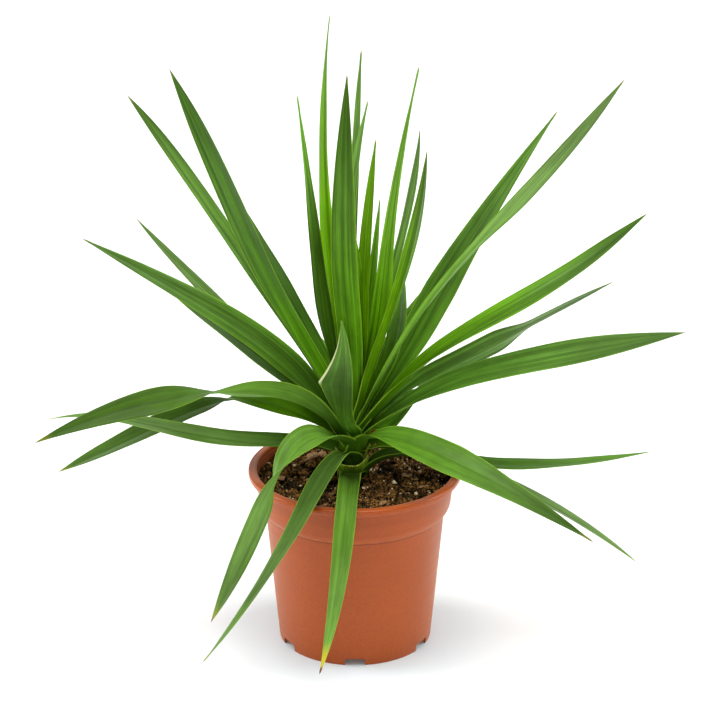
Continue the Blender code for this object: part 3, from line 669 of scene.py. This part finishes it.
for tier, leaves in leafPlan.items():
    for number, leaf in enumerate(leaves, 1):
        buildLeaf(tier, number, leaf)
    print("leaves grown:", tier, len(leaves))


# pot

potShape = dict(
    rim=95, height=163, foot=68.4, wall=1.8, lip=6, collarFoot=124.5, collarRadius=80,
    overhang=6.5, step=5.6, shoulder=9, notches=6, notchWidth=18, notchHeight=6.5,
    floorTop=9, floorUnder=7, drains=6, drainRadius=5, drainCircle=46, segments=192,
)

# lowest and highest point of the two shaded grooves, in metres: under the lip and under the collar
potGrooves = ((0.1557, 0.1570), (0.1236, 0.1247))


def potMaterial():
    material, tree, shader = newMaterial("terracottaPlastic", roughness=0.42, specular=0.3)
    shader.inputs["Sheen Weight"].default_value = 0.25
    shader.inputs["Sheen Tint"].default_value = colour(255, 196, 150)
    shader.inputs["Sheen Roughness"].default_value = 0.5
    where = tree.objectPlace()
    broad = tree.noise(where, 9.0, 2.0)
    grain = tree.noise(where, 620.0, 3.0, 0.7)
    rings = tree.noise(tree.stretch(where, (2.0, 2.0, 160.0)), 1.0, 2.0)
    paint = tree.blend(tree.ramp(broad, 0.3, 0.7), colour(166, 72, 10), colour(174, 78, 14))
    paint = tree.blend(tree.ramp(rings, 0.35, 0.65, 0.0, 0.07), paint, colour(196, 104, 48))
    paint = tree.blend(tree.ramp(grain, 0.38, 0.62, 0.4, 0.0), paint, colour(138, 52, 6))
    x, y, height = tree.split(where)
    radius = tree.math("SQRT", tree.math("ADD", tree.times(x, x), tree.times(y, y)))
    innerShadeAndStain = tree.ramp(radius, 0.0850, 0.0885, 0.8, 0.0)      # darker inside the rim: painted shade, with some soil stain
    innerShadeAndStain = tree.times(innerShadeAndStain, tree.ramp(height, 0.140, 0.150))
    paint = tree.blend(innerShadeAndStain, paint, colour(122, 50, 16))
    outside = tree.ramp(radius, 0.078, 0.0785)
    for low, high in potGrooves:                 # shade held under the lip and under the collar
        rising = tree.ramp(height, low - 0.0004, low, 0.0, 0.75)
        line = tree.times(rising, tree.ramp(height, high, high + 0.0004, 1.0, 0.0))
        paint = tree.blend(tree.times(line, outside), paint, colour(112, 40, 8))
    tree.join(paint, shader.inputs["Base Color"])
    polish = tree.times(tree.ramp(height, 0.1575, 0.1590), 0.16)      # the lip is shinier
    rough = tree.math("SUBTRACT", tree.ramp(rings, 0.3, 0.7, 0.40, 0.48), polish)
    tree.join(rough, shader.inputs["Roughness"])
    relief = tree.math("ADD", tree.times(grain, 0.25), tree.times(rings, 0.6))
    addBump(tree, shader, relief, 0.18, 0.12 * mm)
    return material


def arc(centreRadius, centreHeight, radius, start, end, steps):
    points = []
    for step in range(steps + 1):
        angle = radians(mix(start, end, step / steps))
        points.append((centreRadius + radius * cos(angle), centreHeight + radius * sin(angle)))
    return points


def potSection():
    # closed outline in (radius, height) mm: up the outside, over the lip, down the inside, under the floor
    p = potShape
    rim, top, wall = p["rim"], p["height"], p["wall"]
    waist, bend = p["collarRadius"], p["collarFoot"]
    step, shoulder = p["step"], p["shoulder"]
    lipFoot = top - p["lip"]
    collar = rim - p["overhang"]

    def wallAt(height):
        return mix(p["foot"], waist, height / bend)

    outside = [(wallAt(0) - 0.5, 0), (wallAt(0.3) - 0.15, 0.15), (wallAt(0.8), 0.8)]
    outside += [(wallAt(height), height) for height in (6.5, 20, 40, 60, 80, 100, 115)]
    outside += [(wallAt(123.2), 123.2), (waist + 0.15, bend), (waist + 1.0, bend + 0.5)]
    outside += [(waist + 2.6, bend + 1.8), (waist + 4.1, bend + 3.9)]
    outside += [(waist + 5.1, bend + 6.4), (waist + 5.6, bend + 9)]
    outside += [(mix(waist + step, collar, share), mix(bend + shoulder, lipFoot, share))
                for share in (0.3, 0.6, 0.9)]
    outside += [(collar + 0.2, lipFoot - 0.2), (collar + 0.9, lipFoot + 0.15)]
    lip = [(rim - 1.6, lipFoot + 0.1)]
    lip += arc(rim - 1.4, lipFoot + 1.5, 1.4, -70, 0, 3)
    lip += arc(rim - 2.2, top - 2.3, 2.2, 5, 80, 5)
    lip += [(rim - 3.0, top - 0.35), (rim - 3.6, top - 0.1), (rim - 5.0, top)]
    lip += [(rim - 6.6, top - 0.25), (rim - 7.6, top - 1.0)]
    inside = [(collar - wall, lipFoot - 1), (waist + step - wall, bend + shoulder)]
    inside += [(waist - wall + 1.5, bend + 1.5), (waist - wall, bend - 1)]
    inside += [(wallAt(60) - wall, 60), (wallAt(p["floorTop"]) - wall, p["floorTop"])]
    under = [(wallAt(p["floorUnder"]) - wall, p["floorUnder"]), (wallAt(0) - wall, 0.0)]
    return outside + lip + inside, under


def revolve(section, segments):
    points = []
    for radius, height in section:
        for step in range(segments):
            angle = 2 * pi * step / segments
            points.append(Vector((radius * cos(angle), radius * sin(angle), height)) * mm)
    return points


def cutWith(piece, cutterBuilder):
    # takes the cutter's volume out of the piece for good, and leaves no cutter behind
    mesh = bpy.data.meshes.new("cutter")
    cutterBuilder.to_mesh(mesh)
    cutterBuilder.free()
    cutter = bpy.data.objects.new("cutter", mesh)
    bpy.context.scene.collection.objects.link(cutter)
    modifier = piece.modifiers.new("cut", "BOOLEAN")
    modifier.operation = "DIFFERENCE"
    modifier.solver = "EXACT"
    modifier.object = cutter
    bpy.context.view_layer.update()
    evaluated = piece.evaluated_get(bpy.context.evaluated_depsgraph_get())
    shaped = bpy.data.meshes.new_from_object(evaluated)
    piece.modifiers.clear()
    piece.data = shaped
    bpy.data.objects.remove(cutter, do_unlink=True)


def buildPot():
    p = potShape
    section, under = potSection()
    count = p["segments"]
    points = revolve(section + under, count)
    rings = len(section)
    faces = loopFaces(count, rings)
    faces.append(tuple(range((rings - 1) * count, rings * count)))
    first, second = rings * count, (rings + 1) * count
    faces.append(tuple(range(first, first + count)))
    for step in range(count):
        follow = (step + 1) % count
        faces.append((first + step, first + follow, second + follow, second + step))
        faces.append((second + step, second + follow, follow, step))
    mesh = meshFrom("nurseryPot", points, faces)
    pot = newPiece("nurseryPot", mesh, potMaterial())
    notches = bmesh.new()
    for step in range(p["notches"]):
        angle = -pi / 2 + 2 * pi * step / p["notches"]
        place = Matrix.Rotation(angle, 4, "Z") @ Matrix.Translation((p["foot"] * mm, 0, 0))
        size = Matrix.Diagonal((16 * mm, p["notchWidth"] * mm, 2 * p["notchHeight"] * mm, 1))
        bmesh.ops.create_cube(notches, size=1.0, matrix=place @ size)
    bmesh.ops.bevel(notches, geom=notches.edges[:], offset=0.8 * mm, segments=2, affect="EDGES")
    cutWith(pot, notches)
    drains = bmesh.new()
    for step in range(p["drains"]):
        angle = -pi / 2 + 2 * pi * (step + 0.5) / p["drains"]
        centre = Vector((p["drainCircle"] * cos(angle), p["drainCircle"] * sin(angle), p["floorTop"])) * mm
        bmesh.ops.create_cone(drains, cap_ends=True, segments=32, radius1=p["drainRadius"] * mm,
                              radius2=p["drainRadius"] * mm, depth=10 * mm, matrix=Matrix.Translation(centre))
    cutWith(pot, drains)
    pot.data.shade_smooth()
    pot.data.set_sharp_from_angle(angle=radians(38))
    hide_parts("pot")


buildPot()
print("pot moulded")


# soil

soilShape = dict(level=152.0, crown=3.0, radius=86.0, floor=9.6, rings=120, segments=400)


def soilForm(x, y):
    # height in millimetres of a mound broken into clods, and how high the spot rises among them, from 0 to 1,
    # which sets its painted light and shade: lighter on the clods, painted shade in the hollows
    reach = min(1.0, sqrt(x * x + y * y) / soilShape["radius"])
    bend = Vector((noise.noise(Vector((x, y, 11)) / 6), noise.noise(Vector((x, y, 17)) / 6), 0)) * 3.0
    place = Vector((x, y, 0)) + bend
    near, second = noise.voronoi(place / 9.5)[0][:2]
    clods = smooth((second - near) / 0.42)
    near, second = noise.voronoi(place / 3.4 + Vector((5, 5, 5)))[0][:2]
    crumbs = smooth((second - near) / 0.5)
    rough = noise.fractal(Vector((x, y, 3)) / 2.2, 0.9, 2.1, 4)
    broad = noise.noise(Vector((x, y, 0)) / 21) * 3.2
    hollow = smooth((noise.noise(Vector((x, y, 31)) / 12) - 0.16) / 0.2)
    level = soilShape["level"] + soilShape["crown"] * (1 - reach ** 2)
    height = level + broad * (1 - reach ** 8) + 2.4 * clods + 1.4 * crumbs + 0.7 * rough - 4.6 * hollow
    soilToneAndShade = 0.5 * clods + 0.3 * crumbs + 0.25 * rough + 0.12 - 0.75 * hollow
    return height, min(1.0, max(0.0, soilToneAndShade))


def soilHeight(x, y):
    return soilForm(x, y)[0]


def earthMaterial(name, dark, light):
    material, tree, shader = newMaterial(name, roughness=0.9, specular=0.12)
    where = tree.objectPlace()
    broad = tree.noise(where, 70.0, 3.0)
    crumbs = tree.noise(where, 520.0, 4.0, 0.7)
    fibre = tree.noise(where, 1500.0, 3.0, 0.7)
    # painted light and shade: the soil is lighter on raised clods and darker in hollows; on loose clods a
    # random colour
    soilToneAndShade = tree.times(tree.attribute("soilToneAndShade"), tree.ramp(crumbs, 0.41, 0.59, 0.0, 1.45))
    paint = tree.blend(tree.ramp(soilToneAndShade, 0.15, 0.72), colour(*dark), colour(*light))
    paint = tree.blend(tree.ramp(broad, 0.5, 0.62, 0.0, 0.6), paint, colour(*dark))
    paint = tree.blend(tree.ramp(fibre, 0.56, 0.66, 0.0, 0.6), paint, colour(188, 140, 78))
    tree.join(paint, shader.inputs["Base Color"])
    tree.join(tree.ramp(crumbs, 0.3, 0.7, 0.95, 0.7), shader.inputs["Roughness"])
    height = tree.math("ADD", tree.times(crumbs, 1.0), tree.times(fibre, 0.35))
    addBump(tree, shader, height, 1.0, 1.5 * mm)
    return material


soilMaterial = earthMaterial("pottingSoil", (9, 5, 1), (160, 112, 54))


def buildSoil():
    count = soilShape["segments"]
    points = []
    soilTonesAndShades = []
    low = soilShape["floor"]
    p = potShape

    def innerAt(height):
        if height <= p["collarFoot"]:
            return mix(p["foot"], p["collarRadius"], height / p["collarFoot"]) - p["wall"] - 0.6
        return p["collarRadius"] + p["step"] - p["wall"] - 0.6

    for height in (low, 60, 122, 134):
        points += revolve([(innerAt(height), height)], count)
        soilTonesAndShades += [0.3] * count
    rings = soilShape["rings"]
    for ring in range(rings):
        radius = soilShape["radius"] * (1 - ring / rings)
        for step in range(count):
            angle = 2 * pi * step / count
            x, y = radius * cos(angle), radius * sin(angle)
            height, soilToneAndShade = soilForm(x, y)
            points.append(Vector((x, y, height)) * mm)
            soilTonesAndShades.append(soilToneAndShade)
    ringCount = 4 + rings
    faces = loopFaces(count, ringCount)
    faces.append(tuple(range(count)))
    centre = len(points)
    points.append(Vector((0, 0, soilHeight(0, 0))) * mm)
    soilTonesAndShades.append(0.3)
    last = (ringCount - 1) * count
    for step in range(count):
        faces.append((last + step, last + (step + 1) % count, centre))
    mesh = meshFrom("soilBed", points, faces)
    paintPoints(mesh, "soilToneAndShade", soilTonesAndShades)
    soil = newPiece("soilBed", mesh, soilMaterial)
    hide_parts("soil")


def lumpMesh(name, spots, dice, subdivisions=2, flat=0.8, rough=0.35, sink=0.3):
    # many small irregular bodies in one mesh; each spot is (x, y, size) in mm
    builder = bmesh.new()
    shades = []
    for x, y, size in spots:
        made = bmesh.ops.create_icosphere(builder, subdivisions=subdivisions, radius=1.0)["verts"]
        spin = Matrix.Rotation(dice.uniform(0, 2 * pi), 3, "Z")
        spin = spin @ Matrix.Rotation(dice.uniform(-0.5, 0.5), 3, "X")
        stretch = Vector((dice.uniform(0.7, 1.3), dice.uniform(0.7, 1.1), dice.uniform(0.6, 1.0) * flat))
        offset = Vector((dice.uniform(0, 90), dice.uniform(0, 90), 0))
        centre = Vector((x, y, soilHeight(x, y) + size * (0.5 - sink)))
        shade = 0.25 + 0.75 * dice.random()
        for vertex in made:
            way = vertex.co.normalized()
            dents = noise.noise(way * 1.4 + offset) * 1.6 + noise.noise(way * 3.3 + offset) * 0.6
            swell = 1 + rough * dents
            local = Vector((way.x * stretch.x, way.y * stretch.y, way.z * stretch.z)) * swell * size
            vertex.co = (centre + spin @ local) * mm
            shades.append(shade)
    mesh = bpy.data.meshes.new(name)
    builder.to_mesh(mesh)
    builder.free()
    paintPoints(mesh, "soilToneAndShade", shades)
    return mesh


def scatter(dice, count, low, high, inner=15, outer=83, power=1.0):
    spots = []
    for _ in range(count):
        angle = dice.uniform(0, 2 * pi)
        radius = sqrt(dice.uniform(inner ** 2, outer ** 2))
        size = low + (high - low) * dice.random() ** power
        radius = min(radius, outer + 2 - size)
        spots.append((radius * cos(angle), radius * sin(angle), size))
    return spots


litterPlan = dict(
    clods=dict(count=800, small=0.5, large=2.8, lean=2.2),
    grains=dict(count=330, small=0.3, large=1.0, lean=1.6),
    chips=dict(count=60, small=1.0, large=2.6, lean=1.4),
    # the bigger pieces lying on top, as x, y and radius in mm; another program worked out many of the places
    stones=[(-82, 3, 1.7), (-54.7, 16.4, 1.5), (34.5, -13.8, 2.2), (13.3, -1.5, 1.9), (57.9, 5.6, 1.5),
            (53.5, -43.5, 1.7), (17.5, -53.9, 1.6), (7.9, -33, 1.5), (-48, -22, 1.3), (40, -38, 1.3),
            (-22, 34, 1.4), (28, 44, 1.6), (62, 30, 1.4), (-60, 44, 1.5)],
    plates=[(-41, 32, 8.0), (-30, 40, 5.0), (46, -6, 4.5), (24, -62, 4.0), (58, -30, 3.6), (-66, -8, 3.8)],
)


def perliteMaterial():
    material, tree, shader = newMaterial("perliteGrain", roughness=0.85)
    where = tree.objectPlace()
    pores = tree.noise(where, 1400.0, 3.0)
    stain = tree.ramp(tree.noise(where, 260.0, 2.0), 0.5, 0.72, 0.0, 0.55)
    paint = tree.blend(tree.ramp(pores, 0.3, 0.6), colour(232, 204, 152), colour(255, 240, 206))
    paint = tree.blend(stain, paint, colour(196, 150, 96))
    tree.join(paint, shader.inputs["Base Color"])
    addBump(tree, shader, pores, 0.6, 0.3 * mm)
    return material


def barkMaterial():
    material, tree, shader = newMaterial("barkChip", roughness=0.8)
    grain = tree.noise(tree.objectPlace(), 700.0, 4.0, 0.6)
    paint = tree.blend(tree.ramp(grain, 0.35, 0.65), colour(108, 72, 38), colour(186, 142, 92))
    tree.join(paint, shader.inputs["Base Color"])
    addBump(tree, shader, grain, 0.6, 0.4 * mm)
    return material


def layLitter(name, kind, placed, material, dice, sharpAngle=None, **form):
    # scatters one kind of litter, adds the pieces placed one by one, and seats them all on the soil
    plan = litterPlan[kind]
    spots = scatter(dice, plan["count"], plan["small"], plan["large"], power=plan["lean"]) + placed
    piece = newPiece(name, lumpMesh(name, spots, dice, **form), material, sharpAngle)


def buildLitter():
    dice = random.Random(11)
    layLitter("soilClods", "clods", [], soilMaterial, dice, 22, rough=0.75, sink=0.45)
    layLitter("perlite", "grains", litterPlan["stones"], perliteMaterial(), dice,
              flat=0.9, rough=0.5, sink=-0.1)
    layLitter("barkChips", "chips", litterPlan["plates"], barkMaterial(), dice,
              flat=0.3, rough=0.4, sink=0.1)


buildSoil()
buildLitter()
print("soil laid")


# stem

def buildStem():
    material, tree, shader = newMaterial("greenStem", roughness=0.6)
    where = tree.objectPlace()
    grain = tree.noise(tree.stretch(where, (500.0, 500.0, 60.0)), 1.0, 3.0)
    paint = tree.blend(tree.ramp(grain, 0.35, 0.65), colour(92, 112, 32), colour(134, 150, 52))
    low = tree.ramp(tree.split(where)["Z"], 0.158, 0.172, 1.0, 0.0)     # browner near the soil
    paint = tree.blend(low, paint, colour(108, 84, 48))
    tree.join(paint, shader.inputs["Base Color"])
    addBump(tree, shader, grain, 0.4, 0.4 * mm)
    section = [(stemShape["radius"] - 3, stemShape["foot"]), (stemShape["radius"], stemShape["foot"] + 5)]
    height = 140.0
    while height < stemShape["top"] - 2:                   # a shallow ring where each old leaf let go
        radius = stemRadius(height)
        section += [(radius - 0.1, height), (radius + 0.35, height + 1.2), (radius + 0.2, height + 2.0),
                    (radius - 0.25, height + 2.4)]
        height += 3.6
    section += [(stemShape["topRadius"] - 0.5, stemShape["top"]), (3.0, stemShape["top"] + 2.2)]
    count = 64
    points = [point + Vector((stemShape["x"] * mm, 0, 0)) for point in revolve(section, count)]
    faces = loopFaces(count, len(section))
    faces.append(tuple(range(count)))
    faces.append(tuple(range(len(points) - count, len(points))))
    stem = newPiece("stem", meshFrom("stem", points, faces), material)
    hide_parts("stem")


# feet of old leaves that broke off, round the bottom of the stem: heights and radii in mm, angles in degrees
stubPlan = [
    dict(azimuth=266, half=62, low=164, front=171.5, side=180, away=4.0, flare=4.0, dry=0.0),
    dict(azimuth=312, half=34, low=152, front=168, side=164, away=1.2, flare=2.6, dry=0.2),
    dict(azimuth=222, half=40, low=152, front=166, side=170, away=1.0, flare=2.0, dry=0.5),
    dict(azimuth=338, half=30, low=170, front=187, side=181, away=1.6, flare=5.0, dry=0.3),
    dict(azimuth=354, half=26, low=172, front=186, side=181, away=2.4, flare=8.0, dry=0.75),
    dict(azimuth=200, half=30, low=166, front=183, side=178, away=1.6, flare=4.0, dry=0.3),
    dict(azimuth=100, half=70, low=152, front=172, side=165, away=1.6, flare=3.0, dry=0.6),
]


def stubMaterial():
    material, tree, shader = newMaterial("oldLeafFoot", roughness=0.5, specular=0.2)
    across = tree.attribute("across")
    along = tree.attribute("along")
    dry = tree.attribute("dry")
    fibres = tree.noise(tree.vector(tree.times(across, 24.0), along, tree.attribute("seed")), 1.0, 3.0)
    paint = tree.blend(tree.ramp(along, 0.1, 0.8), colour(92, 136, 16), colour(158, 196, 44))
    paint = tree.blend(tree.ramp(fibres, 0.38, 0.62, 0.0, 0.7), paint, colour(58, 92, 8))
    paint = tree.blend(tree.ramp(along, 0.86, 0.97, 0.0, 0.85), paint, colour(212, 228, 92))
    # painted shade: the inner face of the scale, round the stem, is darker
    paint = tree.blend(tree.attribute("face"), paint, colour(62, 100, 10))
    brown = tree.blend(tree.ramp(fibres, 0.3, 0.7), colour(124, 84, 42), colour(190, 146, 86))
    paint = tree.blend(dry, paint, brown)
    tree.join(paint, shader.inputs["Base Color"])
    addBump(tree, shader, fibres, 0.5, 0.35 * mm)
    return material


def buildStub(number, stub, material):
    # a clasping scale round the stem with a ragged upper edge
    dice = random.Random(40 + number)
    rings, strips = 14, 20
    edge = [dice.uniform(-1.0, 1.0) for _ in range(strips + 1)]
    axis = Vector((stemShape["x"] * mm, 0, 0))
    vertices, across, along = [], [], []
    for ring in range(rings + 1):
        share = ring / rings
        outer, inner = [], []
        for step in range(strips + 1):
            s = 1 - 2 * step / strips
            top = mix(stub["front"], stub["side"], s * s) + edge[step] * 1.2
            height = mix(stub["low"], top, share)
            thick = 0.25 + 0.9 * sqrt(max(0.0, 1 - s * s)) * (1 - 0.5 * share)
            radius = stemRadius(height) + stub["away"] + stub["flare"] * share ** 2 * (1 - 0.4 * s * s)
            way = outward(stub["azimuth"] + s * stub["half"] * (1 - 0.15 * share))
            for row, distance in ((outer, radius), (inner, radius - thick)):
                row.append(axis + (way * distance + Vector((0, 0, height))) * mm)
        vertices += outer + inner[::-1]
        across += [1 - 2 * step / strips for step in range(strips + 1)]
        across += [2 * step / strips - 1 for step in range(strips + 1)]
        along += [share] * (2 * strips + 2)
    ringSize = 2 * (strips + 1)
    faces = loopFaces(ringSize, rings + 1)
    # faces on the inner side, which the finish paints in shade
    inside = [1.0 if strips < index % ringSize < ringSize - 1 else 0.0 for index in range(len(faces))]
    faces += [tuple(range(ringSize)), tuple(range(rings * ringSize, (rings + 1) * ringSize))]
    inside += [0.0, 0.0]
    mesh = meshFrom("oldLeafFoot", vertices, faces)
    paintPoints(mesh, "across", across)
    paintPoints(mesh, "along", along)
    paintPoints(mesh, "dry", [stub["dry"]] * len(vertices))
    paintPoints(mesh, "seed", [dice.uniform(0, 50)] * len(vertices))
    paintFaces(mesh, "face", inside)
    foot = newPiece("oldLeafFoot%02d" % number, mesh, material, 50)


buildStem()
oldFootMaterial = stubMaterial()
for number, stub in enumerate(stubPlan, 1):
    buildStub(number, stub, oldFootMaterial)
print("stem grown")


# floor, light and camera

def buildStage():
    half = 6.0                                   # half the width of the floor, in metres
    corners = [(-half, -half, 0), (half, -half, 0), (half, half, 0), (-half, half, 0)]
    mesh = bpy.data.meshes.new("studioFloor")
    mesh.from_pydata(corners, [], [(0, 1, 2, 3)])
    material, tree, shader = newMaterial("studioWhite", roughness=0.9, specular=0.1)
    where = tree.node("ShaderNodeVectorMath", operation="LENGTH")
    tree.join(tree.objectPlace(), where.inputs[0])
    # painted shadow: the floor turns darker and cooler round the pot
    near = tree.ramp(where.outputs["Value"], 0.075, 0.17, 1.0, 0.0)
    tree.join(tree.blend(near, colour(250, 251, 251), colour(227, 238, 243)), shader.inputs["Base Color"])
    shader.inputs["Emission Color"].default_value = (1, 1, 1, 1)
    shader.inputs["Emission Strength"].default_value = 0.05
    mesh.materials.append(material)
    floor = bpy.data.objects.new("studioFloor", mesh)
    bpy.context.scene.collection.objects.link(floor)


def addLight(name, place, target, width, height, power):
    light = bpy.data.lights.new(name, "AREA")
    light.shape = "RECTANGLE"
    light.size = width
    light.size_y = height
    light.energy = power
    lamp = bpy.data.objects.new(name, light)
    lamp.location = place
    lamp.rotation_euler = (Vector(target) - Vector(place)).to_track_quat("-Z", "Y").to_euler()
    bpy.context.scene.collection.objects.link(lamp)


def addCamera():
    # another program solved this view, with the focal length in mm for a sensor 36 mm wide
    view = dict(distance=2.5, pitch=22.0, target=(0.0044, 0, 0.265), focal=142.725)
    camera = bpy.data.cameras.new("camera")
    camera.sensor_width = 36
    camera.lens = view["focal"]
    camera.clip_end = 50
    eye = bpy.data.objects.new("camera", camera)
    pitch = radians(view["pitch"])
    away = Vector((0, -cos(pitch), sin(pitch))) * view["distance"]
    eye.location = Vector(view["target"]) + away
    eye.rotation_euler = (-away).to_track_quat("-Z", "Y").to_euler()
    bpy.context.scene.collection.objects.link(eye)
    bpy.context.scene.camera = eye


buildStage()
lightPlan = dict(
    leftSoftbox=dict(place=(-2.2, 0.5, 1.3), target=(0, 0, 0.2), width=1.2, height=2.0, power=36),
    rightSoftbox=dict(place=(2.2, 0.5, 1.3), target=(0, 0, 0.2), width=1.2, height=2.0, power=34),
    topSoftbox=dict(place=(0.0, -0.4, 2.6), target=(0, 0, 0.2), width=1.6, height=1.6, power=42),
    backdropLight=dict(place=(0.0, 2.6, 1.8), target=(0, 2.9, 0.0), width=3.0, height=1.0, power=16),
)
for name, light in lightPlan.items():
    addLight(name, **light)
world = bpy.data.worlds.new("studio")
world.use_nodes = True
world.node_tree.nodes["Background"].inputs["Color"].default_value = (1, 1, 1, 1)
world.node_tree.nodes["Background"].inputs["Strength"].default_value = 0.62
bpy.context.scene.world = world
bpy.context.scene.view_settings.view_transform = "Standard"
addCamera()
print("studio set")
